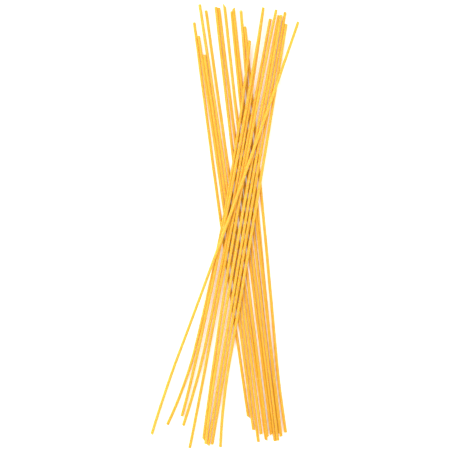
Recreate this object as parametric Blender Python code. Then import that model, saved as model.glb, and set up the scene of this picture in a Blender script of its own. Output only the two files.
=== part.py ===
"""A loose bundle of dry spaghetti lying on a table: two sheaves of strands that cross at a waist.

One solid. Every strand is an eight-sided rod of its real length, laid on the ones before it and
bent a little by its own weight, and the rods are fused where they touch.
Metres, +Z up. The bundle lies along Y, and its origin is on the table, under the middle of its box.
"""

import math

import bmesh
import bpy
import numpy as np
from mathutils import Matrix, Vector

MM = 0.001

STRAND_DIAMETER = 1.7 * MM
STRAND_DENSITY = 1450.0  # kg per cubic metre, dry durum pasta
STRAND_MODULUS = 0.4e9  # Pa, a tenth of dry pasta's own, for sheaves pressed down by a hand
GRAVITY = 9.81

# The rods are a little fatter than the strands, so that they fuse at every touch.
ROD_FLAT_TO_FLAT = STRAND_DIAMETER + 0.16 * MM
ROD_SIDES = 8
ROD_RADIUS = ROD_FLAT_TO_FLAT / 2.0 / math.cos(math.pi / ROD_SIDES)
ROD_SEGMENTS = 12
SHARP_EDGE = math.radians(60.0)  # the rods are shaded round, and their cut ends flat

REST_STATIONS = 121  # points along a strand where its weight and its supports are worked out
TOUCH_GIVE = 0.005 * MM  # how far one touch gives under the weight of a whole strand
LOOSE_SHARE = 1e-9  # what is left of a touch's stiffness where the strand hangs free
BENT_FROM = 0.8  # the share of a strand's length after which a bent foot turns aside

# Both sheaves have a straight middle line through the waist, where they cross.
WAIST_X = 10.0 * MM
REACH = 130.0 * MM  # along Y from the waist to where the longest strands end
LOWER_LEAN = -14.0 * MM  # how far to the right of the waist a sheaf's middle line ends at its top
UPPER_LEAN = 22.0 * MM

# Each strand, in the order of laying: how many strand widths its top end and its foot lie to the
# right of the middle line, how many millimetres its top end and its foot fall short of the reach,
# and how many widths its middle bows and its foot is bent to the right.
# The lower sheaf leans from top left to bottom right. Its first strand lies under all others.
LOWER_SHEAF = (
    (7.25, 4.75, 4.0, 9.5, -0.5, 0.0),
    (-9.25, -5.25, 11.0, 19.0, -0.25, 0.0),
    (-8.25, -4.0, 19.0, 11.5, 0.5, 0.0),
    (-7.0, -2.75, 30.0, 4.5, 0.5, 0.0),
    (-6.75, -1.5, 0.5, 9.0, 0.5, 0.0),
    (-4.75, 0.0, 4.0, 5.5, 0.0, 0.0),
    (1.75, 3.0, 1.0, 5.0, -0.25, 0.0),
    (4.0, 4.0, 4.5, 5.5, -0.5, 0.0),
    (4.75, 5.25, 3.0, 8.0, -0.25, 0.0),
    (8.0, 7.0, 13.5, 10.0, 0.25, 1.0),
    (-1.25, 0.5, 2.0, 7.5, -0.25, 0.0),
    (-0.25, 2.0, 2.5, 9.0, 0.0, 0.0),
)

# The upper sheaf leans the other way, across the lower one. Its last strand lies on all others.
UPPER_SHEAF = (
    (-8.5, -14.5, 22.0, 14.5, 3.0, -2.5),
    (-5.75, -9.0, 3.0, 14.0, 1.75, -1.5),
    (-5.75, -10.0, 3.0, 19.5, 1.25, -0.5),
    (-2.75, -5.5, 9.0, 1.0, 0.0, -0.25),
    (-1.25, -1.25, 4.0, 6.0, -1.5, 0.0),
    (0.0, -0.25, 7.0, 3.5, -0.5, 0.75),
    (0.75, 0.75, 7.0, 2.5, -0.25, 0.0),
    (2.0, 2.0, 5.0, 3.0, -0.25, 0.0),
    (3.0, 5.0, 12.0, 1.5, 0.25, 2.0),
    (7.0, -19.25, 11.0, 9.0, 0.75, 1.25),
)

PASTA_COLOR = (0.90, 0.57, 0.17, 1.0)
PASTA_ROUGHNESS = 0.5
CUT_MARGIN = 10.0 * MM  # how far the block that cuts the underside flat reaches past the rods


def clear_scene():
    for obj in list(bpy.data.objects):
        bpy.data.objects.remove(obj, do_unlink=True)


def seen_from_above(lean, strand):
    """Points along a strand's course, from its top end to its foot."""
    top, foot, top_short, foot_short, bow, bent = strand
    t = np.linspace(0.0, 1.0, REST_STATIONS)
    turned = np.clip((t - BENT_FROM) / (1.0 - BENT_FROM), 0.0, None) ** 2
    widths = top + (foot - bent - top) * t + 4.0 * bow * t * (1.0 - t) + bent * turned
    y = (REACH - top_short * MM) * (1.0 - t) - (REACH - foot_short * MM) * t
    return np.column_stack((WAIST_X + lean * y / REACH + widths * STRAND_DIAMETER, y))


def support_heights(course, laid):
    """The lowest height that the table and the strands already laid leave for each point."""
    lowest = np.full(len(course), STRAND_DIAMETER / 2.0)
    for other in laid:
        starts, runs = other[:-1], np.diff(other, axis=0)
        offsets = course[:, None, :] - starts[None, :, :2]
        along = (offsets * runs[:, :2]).sum(axis=2) / (runs[:, :2] ** 2).sum(axis=1)
        along = np.clip(along, 0.0, 1.0)[..., None]
        gaps = np.linalg.norm(offsets - along * runs[:, :2], axis=2)
        heights = starts[:, 2] + along[..., 0] * runs[:, 2]
        rises = np.sqrt(np.clip(STRAND_DIAMETER**2 - gaps**2, 0.0, None))
        touching = np.where(gaps < STRAND_DIAMETER, heights + rises, 0.0)
        lowest = np.maximum(lowest, touching.max(axis=1))
    return lowest


def rest_heights(course, laid):
    """The heights at which a strand comes to rest: a slender beam on whatever is below it."""
    lowest = support_heights(course, laid)
    count = len(course)
    step = np.linalg.norm(course[-1] - course[0]) / (count - 1)
    weight = STRAND_DENSITY * GRAVITY * math.pi * STRAND_DIAMETER**2 / 4.0 * step
    stiffness = STRAND_MODULUS * math.pi * STRAND_DIAMETER**4 / 64.0 / step**3
    curvature = np.diff(np.eye(count), n=2, axis=0)
    bending = stiffness * curvature.T @ curvature
    touch = weight * count / TOUCH_GIVE
    held = np.ones(count, bool)
    for _ in range(count):
        springs = np.where(held, touch, touch * LOOSE_SHARE)
        heights = np.linalg.solve(bending + np.diag(springs), springs * lowest - weight)
        if ((heights < lowest) == held).all():
            break
        held = heights < lowest
    return heights


def lay_strands():
    """The centre line of every strand at rest, in the order of laying."""
    laid = []
    for lean, sheaf in ((LOWER_LEAN, LOWER_SHEAF), (UPPER_LEAN, UPPER_SHEAF)):
        for strand in sheaf:
            course = seen_from_above(lean, strand)
            laid.append(np.column_stack((course, rest_heights(course, laid))))
    return laid


def ring_frame(point, direction):
    """Turns a circle in XY to stand across a strand at this point, with a flat side down."""
    side = direction.cross(Vector((0.0, 0.0, 1.0))).normalized()
    frame = Matrix((side, direction.cross(side), direction)).transposed().to_4x4()
    half_a_side = Matrix.Rotation(math.pi / ROD_SIDES, 4, "Z")
    return Matrix.Translation(point) @ frame @ half_a_side


def rod_object(name, line):
    """An eight-sided rod along a strand's centre line, closed at both ends."""
    stations = np.linspace(0, len(line) - 1, ROD_SEGMENTS + 1).round().astype(int)
    points = [Vector(line[i]) for i in stations]
    bm = bmesh.new()
    rings = []
    for i, point in enumerate(points):
        before, after = points[max(i - 1, 0)], points[min(i + 1, ROD_SEGMENTS)]
        ring = bmesh.ops.create_circle(
            bm,
            cap_ends=i in (0, ROD_SEGMENTS),
            radius=ROD_RADIUS,
            segments=ROD_SIDES,
            matrix=ring_frame(point, (after - before).normalized()),
        )
        rings.append({edge for vert in ring["verts"] for edge in vert.link_edges})
    for ring, following in zip(rings, rings[1:]):
        bmesh.ops.bridge_loops(bm, edges=list(ring | following))
    bmesh.ops.recalc_face_normals(bm, faces=bm.faces)
    mesh = bpy.data.meshes.new(name)
    bm.to_mesh(mesh)
    bm.free()
    mesh.shade_smooth()
    mesh.set_sharp_from_angle(angle=SHARP_EDGE)
    return bpy.data.objects.new(name, mesh)


def box_of(objects):
    """The lowest and highest corners of the box that holds all these meshes."""
    points = np.array([vert.co for obj in objects for vert in obj.data.vertices])
    return points.min(axis=0), points.max(axis=0)


def center_on_origin(objects):
    """Moves the meshes so that the origin is under the middle of their box."""
    low, high = box_of(objects)
    middle = (low + high) / 2.0
    for obj in objects:
        obj.data.transform(Matrix.Translation((-middle[0], -middle[1], 0.0)))


def table_block(rods):
    """A block that fills the space under the table top, to cut the lowest rods flat."""
    low, high = box_of(rods)
    size = high - low + 2.0 * CUT_MARGIN
    bm = bmesh.new()
    bmesh.ops.create_cube(bm, size=1.0)
    bmesh.ops.scale(bm, vec=(size[0], size[1], CUT_MARGIN), verts=bm.verts)
    bmesh.ops.translate(bm, vec=(0.0, 0.0, -CUT_MARGIN / 2.0), verts=bm.verts)
    mesh = bpy.data.meshes.new("table_block")
    bm.to_mesh(mesh)
    bm.free()
    return bpy.data.objects.new("table_block", mesh)


def as_helper(obj, collection):
    obj.hide_render = True
    obj.display_type = "WIRE"
    collection.objects.link(obj)


def pasta_material():
    material = bpy.data.materials.new("dry_spaghetti")
    material.use_nodes = True
    shader = material.node_tree.nodes["Principled BSDF"]
    shader.inputs["Base Color"].default_value = PASTA_COLOR
    shader.inputs["Roughness"].default_value = PASTA_ROUGHNESS
    shader.inputs["Metallic"].default_value = 0.0
    return material


def build():
    clear_scene()
    scene = bpy.context.scene
    rods = [rod_object(f"strand_{i + 1:02d}", line) for i, line in enumerate(lay_strands())]
    center_on_origin(rods)

    bundle = rods[0]
    bundle.name = "spaghetti_bundle"
    bundle.data.materials.append(pasta_material())
    scene.collection.objects.link(bundle)

    others = bpy.data.collections.new("other_strands")
    scene.collection.children.link(others)
    for rod in rods[1:]:
        as_helper(rod, others)
    block = table_block(rods)
    as_helper(block, scene.collection)

    fuse = bundle.modifiers.new("fuse_strands", "BOOLEAN")
    fuse.operation = "UNION"
    fuse.operand_type = "COLLECTION"
    fuse.collection = others
    fuse.solver = "EXACT"

    flatten = bundle.modifiers.new("flat_underside", "BOOLEAN")
    flatten.operation = "DIFFERENCE"
    flatten.object = block
    flatten.solver = "EXACT"


build()
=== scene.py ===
"""A loose bundle of dry spaghetti: every strand at its true size, cut at both ends and laid on the
ones before it, on a pale table under soft light, seen from straight above.

Lengths are in metres, and MM turns millimetres into them.
"""

import math

import bmesh
import bpy
import numpy as np
from mathutils import Matrix, Vector


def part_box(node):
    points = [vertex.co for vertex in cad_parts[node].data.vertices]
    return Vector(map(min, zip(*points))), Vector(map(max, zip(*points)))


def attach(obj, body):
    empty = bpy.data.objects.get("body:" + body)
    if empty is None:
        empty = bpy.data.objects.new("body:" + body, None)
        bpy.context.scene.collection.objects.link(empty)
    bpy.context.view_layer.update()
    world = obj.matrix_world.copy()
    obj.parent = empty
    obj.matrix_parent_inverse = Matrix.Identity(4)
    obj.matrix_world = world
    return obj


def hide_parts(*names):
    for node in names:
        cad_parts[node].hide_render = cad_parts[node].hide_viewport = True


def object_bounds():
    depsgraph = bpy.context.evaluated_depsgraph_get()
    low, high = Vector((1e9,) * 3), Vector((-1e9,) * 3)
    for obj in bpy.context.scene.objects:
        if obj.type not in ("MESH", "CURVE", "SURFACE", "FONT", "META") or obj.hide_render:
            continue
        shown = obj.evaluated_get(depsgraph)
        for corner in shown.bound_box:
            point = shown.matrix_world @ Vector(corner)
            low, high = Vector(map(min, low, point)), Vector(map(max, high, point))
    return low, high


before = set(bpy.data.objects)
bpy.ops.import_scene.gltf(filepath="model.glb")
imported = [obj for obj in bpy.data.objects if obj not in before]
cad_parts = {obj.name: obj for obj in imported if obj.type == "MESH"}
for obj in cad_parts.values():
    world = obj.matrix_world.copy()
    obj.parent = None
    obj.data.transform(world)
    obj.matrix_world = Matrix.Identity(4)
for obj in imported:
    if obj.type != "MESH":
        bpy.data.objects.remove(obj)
cad_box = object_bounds()

MM = 0.001

STRAND_DIAMETER = 1.7 * MM
STRAND_DENSITY = 1450.0  # kg per cubic metre, dry durum pasta
STRAND_MODULUS = 0.4e9  # Pa, a tenth of dry pasta's own, for sheaves pressed down by a hand
GRAVITY = 9.81
REST_STATIONS = 121  # points along a strand where its weight and its supports are worked out
TOUCH_GIVE = 0.005 * MM  # how far one touch gives under the weight of a whole strand
LOOSE_SHARE = 1e-9  # what is left of a touch's stiffness where the strand hangs free
BENT_FROM = 0.8  # the share of a strand's length after which a bent foot turns aside

# Both sheaves have a straight middle line through the waist, where they cross.
WAIST_X = 10.0 * MM
REACH = 130.0 * MM  # along Y from the waist to where the longest strands end
LOWER_LEAN = -14.0 * MM  # how far to the right of the waist a sheaf's middle line ends at its top
UPPER_LEAN = 22.0 * MM

# Each strand, in the order of laying: how many strand widths its top end and its foot lie to the
# right of the middle line, how many millimetres its top end and its foot fall short of the reach,
# and how many widths its middle bows and its foot is bent to the right.
# The lower sheaf leans from top left to bottom right. Its first strand lies under all others.
LOWER_SHEAF = (
    (7.25, 4.75, 4.0, 9.5, -0.5, 0.0),
    (-9.25, -5.25, 11.0, 19.0, -0.25, 0.0),
    (-8.25, -4.0, 19.0, 11.5, 0.5, 0.0),
    (-7.0, -2.75, 30.0, 4.5, 0.5, 0.0),
    (-6.75, -1.5, 0.5, 9.0, 0.5, 0.0),
    (-4.75, 0.0, 4.0, 5.5, 0.0, 0.0),
    (1.75, 3.0, 1.0, 5.0, -0.25, 0.0),
    (4.0, 4.0, 4.5, 5.5, -0.5, 0.0),
    (4.75, 5.25, 3.0, 8.0, -0.25, 0.0),
    (8.0, 7.0, 13.5, 10.0, 0.25, 1.0),
    (-1.25, 0.5, 2.0, 7.5, -0.25, 0.0),
    (-0.25, 2.0, 2.5, 9.0, 0.0, 0.0),
)

# The upper sheaf leans the other way, across the lower one. Its last strand lies on all others.
UPPER_SHEAF = (
    (-8.5, -14.5, 22.0, 14.5, 3.0, -2.5),
    (-5.75, -9.0, 3.0, 14.0, 1.75, -1.5),
    (-5.75, -10.0, 3.0, 19.5, 1.25, -0.5),
    (-2.75, -5.5, 9.0, 1.0, 0.0, -0.25),
    (-1.25, -1.25, 4.0, 6.0, -1.5, 0.0),
    (0.0, -0.25, 7.0, 3.5, -0.5, 0.75),
    (0.75, 0.75, 7.0, 2.5, -0.25, 0.0),
    (2.0, 2.0, 5.0, 3.0, -0.25, 0.0),
    (3.0, 5.0, 12.0, 1.5, 0.25, 2.0),
    (7.0, -19.25, 11.0, 9.0, 0.75, 1.25),
)

# Ends snapped on a slant, by the strand's turn in laying, counted from 0 through both sheaves:
# degrees by which the right side of the end reaches further out than the left. The other ends
# were sawn nearly square.
SLANTED_TOPS = {6: -58.0, 8: 35.0}
SLANTED_FEET = {1: 42.0, 5: 30.0, 10: -40.0, 11: -38.0, 16: 40.0, 18: 25.0}
SAW_ERROR = 6.0  # degrees, how far off square the sawn ends are

STRAND_SIDES = 16
CUT_RIM = 0.10 * MM  # width of the worn rim round a cut end
RIM_SEGMENTS = 2
DIAMETER_SPREAD = 0.02  # how unlike each other the strands' diameters are
DIAMETER_WAVES = 0.012  # how much a strand swells and narrows along its length
SIDE_WANDER = 0.05 * MM  # how far drying pulled a strand from its smooth course
WANDER_TURNS = (3, 5, 8)  # waves of that wander over a strand's length
MIDDLE_TONE = 0.5
TONE_SPREAD = 0.5  # half the range of the strands' own tones
# Painted shade: how much darker the lower sheaf, which lies in the upper one's shade, is made
# than the upper one, at its top ends and at its feet.
LOWER_TOPS_PAINTED_SHADE = 0.35
LOWER_FEET_PAINTED_SHADE = 0.95

# The dough's colours, as sRGB hex.
DEEP_DOUGH = "D69C1E"
PALE_DOUGH = "F3BE4E"
PALEST_SUM = 2.3  # what streaks, clouds and tone add up to where the dough is palest
DUST_COLOR = "FFDC8C"  # flour dust on the dough, seen where the light grazes it
DOUGH_IOR = 1.5

STREAK_WIDTH = 0.3 * MM
STREAK_RUN = 50.0  # how many times its width a streak runs on for
CLOUD_SIZE = 12.0 * MM

# Coarser than real, so that they show at all. Real starch grains are under 0.1 mm across, and
# these are 0.5 mm with their soft edges. The specks of bran are 0.9 mm.
STARCH_COLOR = "FCD088"
STARCH_SPACING = 1.6 * MM
STARCH_RADIUS = 0.25 * MM
BRAN_COLOR = "C98428"
BRAN_SPACING = 7.0 * MM
BRAN_RADIUS = 0.45 * MM
BRAN_SHIFT = 3.7  # metres along each axis, so that bran and starch don't share their places
GRAIN_CORE = 0.5  # the share of a grain's radius inside which it has its full colour

DEEP_CUT = "DD9432"
PALE_CUT = "F0AE4A"
CRUMB_SIZE = 0.2 * MM

FRAMED_WIDTH = 262.5 * MM  # of the table top, from side to side of the picture
FRAMED_MIDDLE = Vector((0.6 * MM, -0.2 * MM))  # from the middle of the bundle's box
LENS_MM = 85.0
SENSOR_MM = 36.0

TABLE_SIZE = 6.0
TABLE_GAP = 0.02 * MM  # lifts the strands, so that their thick places hardly dip into the table
TABLE_COLOR = "FAFAF8"
TABLE_GLOW = 0.2

# Each soft box: its name, its place and its size in metres, and its watts.
SOFT_BOXES = (
    ("left_soft_box", (-0.7, 0.35, 1.2), 0.9, 14.0),
    ("right_soft_box", (0.8, -0.3, 1.3), 1.2, 5.0),
)
ROOM_STRENGTH = 0.92
WHITE = "FFFFFF"

# The Mix node's colour sockets have the same names as its others, so they are found by number.
MIX_FIRST, MIX_SECOND, MIXED = 6, 7, 2

RANDOM_SEED = 22
random_numbers = np.random.default_rng(RANDOM_SEED)


# ---- where the strands lie ----


def seen_from_above(lean, strand):
    """Points along a strand's course, from its top end to its foot."""
    top, foot, top_short, foot_short, bow, bent = strand
    t = np.linspace(0.0, 1.0, REST_STATIONS)
    turned = np.clip((t - BENT_FROM) / (1.0 - BENT_FROM), 0.0, None) ** 2
    widths = top + (foot - bent - top) * t + 4.0 * bow * t * (1.0 - t) + bent * turned
    y = (REACH - top_short * MM) * (1.0 - t) - (REACH - foot_short * MM) * t
    return np.column_stack((WAIST_X + lean * y / REACH + widths * STRAND_DIAMETER, y))


def support_heights(course, laid):
    """The lowest height that the table and the strands already laid leave for each point."""
    lowest = np.full(len(course), STRAND_DIAMETER / 2.0)
    for other in laid:
        starts, runs = other[:-1], np.diff(other, axis=0)
        offsets = course[:, None, :] - starts[None, :, :2]
        along = (offsets * runs[:, :2]).sum(axis=2) / (runs[:, :2] ** 2).sum(axis=1)
        along = np.clip(along, 0.0, 1.0)[..., None]
        gaps = np.linalg.norm(offsets - along * runs[:, :2], axis=2)
        heights = starts[:, 2] + along[..., 0] * runs[:, 2]
        rises = np.sqrt(np.clip(STRAND_DIAMETER**2 - gaps**2, 0.0, None))
        touching = np.where(gaps < STRAND_DIAMETER, heights + rises, 0.0)
        lowest = np.maximum(lowest, touching.max(axis=1))
    return lowest


def rest_heights(course, laid):
    """The heights at which a strand comes to rest: a slender beam on whatever is below it."""
    lowest = support_heights(course, laid)
    count = len(course)
    step = np.linalg.norm(course[-1] - course[0]) / (count - 1)
    weight = STRAND_DENSITY * GRAVITY * math.pi * STRAND_DIAMETER**2 / 4.0 * step
    stiffness = STRAND_MODULUS * math.pi * STRAND_DIAMETER**4 / 64.0 / step**3
    curvature = np.diff(np.eye(count), n=2, axis=0)
    bending = stiffness * curvature.T @ curvature
    touch = weight * count / TOUCH_GIVE
    held = np.ones(count, bool)
    for _ in range(count):
        springs = np.where(held, touch, touch * LOOSE_SHARE)
        heights = np.linalg.solve(bending + np.diag(springs), springs * lowest - weight)
        if ((heights < lowest) == held).all():
            break
        held = heights < lowest
    return heights


def lay_strands():
    """The centre line of every strand at rest, in the order of laying."""
    laid = []
    for lean, sheaf in ((LOWER_LEAN, LOWER_SHEAF), (UPPER_LEAN, UPPER_SHEAF)):
        for strand in sheaf:
            course = seen_from_above(lean, strand)
            laid.append(np.column_stack((course, rest_heights(course, laid))))
    return laid


# ---- the strands themselves ----


def slow_waves():
    """A smooth unevenness along a strand, from -1 to 1."""
    t = np.linspace(0.0, 1.0, REST_STATIONS)
    starts = random_numbers.uniform(0.0, 2.0 * math.pi, len(WANDER_TURNS))
    phases = [2.0 * math.pi * turns * t + start for turns, start in zip(WANDER_TURNS, starts)]
    return np.mean(np.sin(phases), axis=0)


def ring_frame(point, direction, slant=0.0):
    """Turns a circle in XY to stand across a strand, leaning over its right side by the slant."""
    side = direction.cross(Vector((0.0, 0.0, 1.0))).normalized()
    turn = Matrix((side, direction.cross(side), direction)).transposed().to_4x4()
    lean = Matrix.Identity(4)
    lean[2][0] = slant
    return Matrix.Translation(point) @ turn @ lean


def end_slant(slanted, turn, outwards):
    """The slope of a cut end, as a rise along the strand for a step to the side."""
    degrees = slanted.get(turn, random_numbers.normal(0.0, SAW_ERROR))
    return math.tan(math.radians(degrees)) * outwards


def mark_ring(verts, ring, along, tone, layers):
    """Writes where each vertex lies on the straight strand, and its tone with painted shade."""
    place, shade = layers
    to_ring = ring.inverted()
    for vert in verts:
        local = to_ring @ vert.co
        vert[place] = Vector((local.x, local.y, along))
        vert[shade] = tone


def strand_tones_and_shade(turn):
    """A strand's tone, with painted shade, at each station. The higher, the paler its dough."""
    tone = MIDDLE_TONE + TONE_SPREAD * random_numbers.uniform(-1.0, 1.0)
    tones_and_shade = np.full(REST_STATIONS, tone)
    # Painted shade: the lower sheaf is made darker, more towards its feet, for the shade it lies
    # in.
    if turn < len(LOWER_SHEAF):
        tones_and_shade -= np.linspace(LOWER_TOPS_PAINTED_SHADE, LOWER_FEET_PAINTED_SHADE, REST_STATIONS)
    return tones_and_shade


def close_strand(bm, rings):
    """Bridges a strand's rings from end to end and wears the rims of its two cut ends."""
    rims = list({edge for cap in bm.faces for edge in cap.edges})
    for ring, following in zip(rings, rings[1:]):
        bmesh.ops.bridge_loops(bm, edges=list(ring | following))
    bmesh.ops.bevel(
        bm,
        geom=rims,
        offset=CUT_RIM,
        segments=RIM_SEGMENTS,
        profile=0.5,
        affect="EDGES",
        material=-1,
    )
    bmesh.ops.recalc_face_normals(bm, faces=bm.faces)
    for face in bm.faces:
        is_cut = len(face.verts) == STRAND_SIDES
        face.material_index = 1 if is_cut else 0
        face.smooth = not is_cut


def strand_mesh(turn, line):
    """One strand, as rings round its centre line, bridged and closed."""
    points = [Vector(point) for point in line]
    wander = SIDE_WANDER * slow_waves()
    radius = STRAND_DIAMETER / 2.0 * (1.0 + DIAMETER_SPREAD * random_numbers.uniform(-1.0, 1.0))
    radii = radius * (1.0 + DIAMETER_WAVES * slow_waves())
    tones_and_shade = strand_tones_and_shade(turn)
    start = random_numbers.uniform(0.0, 1.0)  # metres, so that no two strands have like grains
    # A strand runs from its top end to its foot, so its right side is to the left of that run.
    slants = {
        0: end_slant(SLANTED_TOPS, turn, 1.0),
        REST_STATIONS - 1: end_slant(SLANTED_FEET, turn, -1.0),
    }

    bm = bmesh.new()
    kinds = bm.verts.layers
    layers = (kinds.float_vector.new("strand_place"), kinds.float.new("strand_tone_and_shade"))
    rings = []
    for i, point in enumerate(points):
        before, after = points[max(i - 1, 0)], points[min(i + 1, REST_STATIONS - 1)]
        direction = (after - before).normalized()
        side = direction.cross(Vector((0.0, 0.0, 1.0))).normalized()
        ring = ring_frame(point + side * wander[i], direction, slants.get(i, 0.0))
        made = bmesh.ops.create_circle(
            bm, cap_ends=i in slants, radius=radii[i], segments=STRAND_SIDES, matrix=ring
        )
        along = start + (points[0] - point).length
        mark_ring(made["verts"], ring, along, tones_and_shade[i], layers)
        rings.append({edge for vert in made["verts"] for edge in vert.link_edges})
    close_strand(bm, rings)
    mesh = bpy.data.meshes.new("strand")
    bm.to_mesh(mesh)
    bm.free()
    return mesh


def spaghetti_piece():
    """All the strands as one mesh, with its middle on the middle of the bundle's own solid."""
    bm = bmesh.new()
    for turn, line in enumerate(lay_strands()):
        mesh = strand_mesh(turn, line)
        bm.from_mesh(mesh)
        bpy.data.meshes.remove(mesh)
    places = np.array([vert.co for vert in bm.verts])
    low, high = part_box("spaghetti_bundle")
    shift = (np.array(low) + np.array(high) - places.min(axis=0) - places.max(axis=0)) / 2.0
    bmesh.ops.translate(bm, vec=(shift[0], shift[1], TABLE_GAP), verts=bm.verts)
    mesh = bpy.data.meshes.new("dry_spaghetti")
    bm.to_mesh(mesh)
    bm.free()
    mesh.materials.append(extruded_semolina())
    mesh.materials.append(sawn_semolina())
    piece = bpy.data.objects.new("dry_spaghetti", mesh)
    bpy.context.scene.collection.objects.link(piece)
    return piece


# ---- materials ----


def linear(hex_color):
    """An sRGB hex colour as linear red, green, blue and alpha."""
    shares = [int(hex_color[i : i + 2], 16) / 255.0 for i in (0, 2, 4)]
    color = [s / 12.92 if s <= 0.04045 else ((s + 0.055) / 1.055) ** 2.4 for s in shares]
    return (*color, 1.0)


def add_node(tree, kind, links=None, values=None, **settings):
    """Adds a node with its settings, its sockets' values and the sockets that feed it."""
    node = tree.nodes.new(kind)
    for name, value in settings.items():
        setattr(node, name, value)
    for socket, value in (values or {}).items():
        node.inputs[socket].default_value = value
    for socket, source in (links or {}).items():
        tree.links.new(source, node.inputs[socket])
    return node


def new_material(name):
    """An empty material and its output node."""
    material = bpy.data.materials.new(name)
    material.use_nodes = True
    tree = material.node_tree
    tree.nodes.clear()
    return material, tree, add_node(tree, "ShaderNodeOutputMaterial")


def grains(tree, place, spacing, radius, shift=0.0):
    """Scattered grains in the dough: 1 inside a grain, 0 outside. All three numbers are lengths."""
    moved = add_node(
        tree, "ShaderNodeVectorMath", {0: place}, {1: (shift, shift, shift)}, operation="ADD"
    )
    cells = add_node(
        tree,
        "ShaderNodeTexVoronoi",
        {"Vector": moved.outputs[0]},
        {"Scale": 1.0 / spacing, "Randomness": 1.0},
        feature="F1",
    )
    edge = radius / spacing
    return add_node(
        tree,
        "ShaderNodeMapRange",
        {"Value": cells.outputs["Distance"]},
        {"From Min": edge, "From Max": edge * GRAIN_CORE, "To Min": 0.0, "To Max": 1.0},
    ).outputs["Result"]


def mixed(tree, share, first, second):
    """A colour between two others. Each is a linear colour or a socket."""
    node = add_node(tree, "ShaderNodeMix", data_type="RGBA")
    tree.links.new(share, node.inputs["Factor"])
    for socket, color in ((MIX_FIRST, first), (MIX_SECOND, second)):
        if isinstance(color, tuple):
            node.inputs[socket].default_value = color
        else:
            tree.links.new(color, node.inputs[socket])
    return node.outputs[MIXED]


def extruded_semolina():
    """Durum wheat semolina, pushed through a die and dried: a matt, slightly see-through amber,
    streaked lengthwise by the die, with pale starch grains and a few brown specks of bran."""
    material, tree, output = new_material("durum_semolina_extruded")
    place = add_node(tree, "ShaderNodeAttribute", attribute_name="strand_place").outputs["Vector"]
    # The strand's own tone, darkened on the lower sheaf by painted shade.
    tone = add_node(tree, "ShaderNodeAttribute", attribute_name="strand_tone_and_shade").outputs["Fac"]

    # The die's streaks are 0.3 mm wide and run on for 15 mm.
    drawn_out = add_node(
        tree, "ShaderNodeMapping", {"Vector": place}, {"Scale": (1.0, 1.0, 1.0 / STREAK_RUN)}
    )
    streaks = add_node(
        tree,
        "ShaderNodeTexNoise",
        {"Vector": drawn_out.outputs["Vector"]},
        {"Scale": 1.0 / STREAK_WIDTH, "Detail": 3.0, "Roughness": 0.5},
    ).outputs["Fac"]
    # Drying leaves clouds of paler dough every 12 mm or so.
    clouds = add_node(
        tree,
        "ShaderNodeTexNoise",
        {"Vector": place},
        {"Scale": 1.0 / CLOUD_SIZE, "Detail": 4.0, "Roughness": 0.6},
    ).outputs["Fac"]
    starch = grains(tree, place, STARCH_SPACING, STARCH_RADIUS)
    bran = grains(tree, place, BRAN_SPACING, BRAN_RADIUS, BRAN_SHIFT)

    shades = add_node(tree, "ShaderNodeMath", {0: streaks, 1: clouds}, operation="ADD").outputs[0]
    shades = add_node(tree, "ShaderNodeMath", {0: shades, 1: tone}, operation="ADD").outputs[0]
    share = add_node(
        tree,
        "ShaderNodeMapRange",
        {"Value": shades},
        {"From Min": 0.0, "From Max": PALEST_SUM, "To Min": 0.0, "To Max": 1.0},
    ).outputs["Result"]
    color = mixed(tree, share, linear(DEEP_DOUGH), linear(PALE_DOUGH))
    color = mixed(tree, starch, color, linear(STARCH_COLOR))
    color = mixed(tree, bran, color, linear(BRAN_COLOR))

    relief = add_node(tree, "ShaderNodeMath", {0: streaks, 1: starch}, operation="ADD").outputs[0]
    bump = add_node(
        tree, "ShaderNodeBump", {"Height": relief}, {"Strength": 0.15, "Distance": 0.02 * MM}
    )
    roughness = add_node(
        tree,
        "ShaderNodeMapRange",
        {"Value": clouds},
        {"From Min": 0.3, "From Max": 0.7, "To Min": 0.52, "To Max": 0.64},
    ).outputs["Result"]
    shader = add_node(
        tree,
        "ShaderNodeBsdfPrincipled",
        {"Base Color": color, "Roughness": roughness, "Normal": bump.outputs["Normal"]},
        {
            "IOR": DOUGH_IOR,
            "Specular IOR Level": 0.2,
            "Metallic": 0.0,
            "Subsurface Weight": 1.0,
            "Subsurface Radius": (1.0, 1.1, 0.35),
            "Subsurface Scale": 1.0 * MM,
            "Sheen Weight": 0.3,
            "Sheen Roughness": 0.5,
            "Sheen Tint": linear(DUST_COLOR),
        },
    )
    tree.links.new(shader.outputs[0], output.inputs["Surface"])
    return material


def sawn_semolina():
    """The same dough where it was sawn or snapped: rougher and a little deeper in colour."""
    material, tree, output = new_material("durum_semolina_sawn")
    place = add_node(tree, "ShaderNodeAttribute", attribute_name="strand_place").outputs["Vector"]
    # The broken dough shows crumbs 0.2 mm across.
    crumbs = add_node(
        tree,
        "ShaderNodeTexNoise",
        {"Vector": place},
        {"Scale": 1.0 / CRUMB_SIZE, "Detail": 2.0},
    ).outputs["Fac"]
    color = mixed(tree, crumbs, linear(DEEP_CUT), linear(PALE_CUT))
    bump = add_node(
        tree, "ShaderNodeBump", {"Height": crumbs}, {"Strength": 0.5, "Distance": 0.04 * MM}
    )
    shader = add_node(
        tree,
        "ShaderNodeBsdfPrincipled",
        {"Base Color": color, "Normal": bump.outputs["Normal"]},
        {
            "IOR": DOUGH_IOR,
            "Roughness": 0.7,
            "Subsurface Weight": 0.25,
            "Subsurface Scale": 0.5 * MM,
        },
    )
    tree.links.new(shader.outputs[0], output.inputs["Surface"])
    return material


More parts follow.
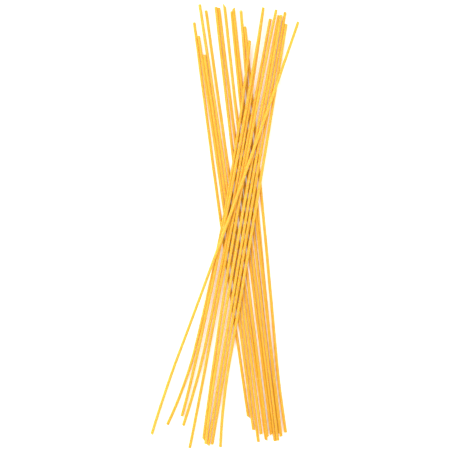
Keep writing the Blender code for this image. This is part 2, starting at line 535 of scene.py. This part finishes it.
def lit_opal_acrylic():
    """Opal acrylic with a little light behind it: a matt white top that hides all but the faintest
    shadows."""
    material, tree, output = new_material("opal_acrylic_lit_from_below")
    shader = add_node(
        tree,
        "ShaderNodeBsdfPrincipled",
        values={
            "Base Color": linear(TABLE_COLOR),
            "Roughness": 0.8,
            "IOR": 1.49,
            "Emission Color": linear(WHITE),
            "Emission Strength": TABLE_GLOW,
        },
    )
    tree.links.new(shader.outputs[0], output.inputs["Surface"])
    return material


# ---- the table, the light and the camera ----


def pale_table():
    bm = bmesh.new()
    bmesh.ops.create_grid(bm, x_segments=1, y_segments=1, size=TABLE_SIZE / 2.0)
    mesh = bpy.data.meshes.new("table_top")
    bm.to_mesh(mesh)
    bm.free()
    mesh.materials.append(lit_opal_acrylic())
    table = bpy.data.objects.new("table_top", mesh)
    bpy.context.scene.collection.objects.link(table)
    return table


def soft_box(name, place, aim, size, watts):
    """A square soft box at this place that shines on the aim."""
    light = bpy.data.lights.new(name, "AREA")
    light.shape = "SQUARE"
    light.size = size
    light.energy = watts
    lamp = bpy.data.objects.new(name, light)
    lamp.location = place
    lamp.rotation_euler = (Vector(aim) - Vector(place)).to_track_quat("-Z", "Y").to_euler()
    bpy.context.scene.collection.objects.link(lamp)


def white_room():
    world = bpy.data.worlds.new("white_room")
    world.use_nodes = True
    background = world.node_tree.nodes["Background"]
    background.inputs["Color"].default_value = linear(WHITE)
    background.inputs["Strength"].default_value = ROOM_STRENGTH
    bpy.context.scene.world = world


def camera_above(middle):
    """Looks straight down, with the bundle's top end up in the picture."""
    camera = bpy.data.cameras.new("camera_above")
    camera.lens = LENS_MM
    camera.sensor_width = SENSOR_MM
    height = FRAMED_WIDTH * LENS_MM / SENSOR_MM
    eye = bpy.data.objects.new("camera_above", camera)
    eye.location = (middle.x + FRAMED_MIDDLE.x, middle.y + FRAMED_MIDDLE.y, middle.z + height)
    bpy.context.scene.collection.objects.link(eye)
    bpy.context.scene.camera = eye


low, high = (Vector(corner) for corner in cad_box)
middle = (low + high) / 2.0

spaghetti = spaghetti_piece()
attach(spaghetti, "root")
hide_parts("spaghetti_bundle")

table = pale_table()
white_room()
for name, place, size, watts in SOFT_BOXES:
    soft_box(name, place, middle, size, watts)
camera_above(middle)
bpy.context.scene.view_settings.view_transform = "Standard"
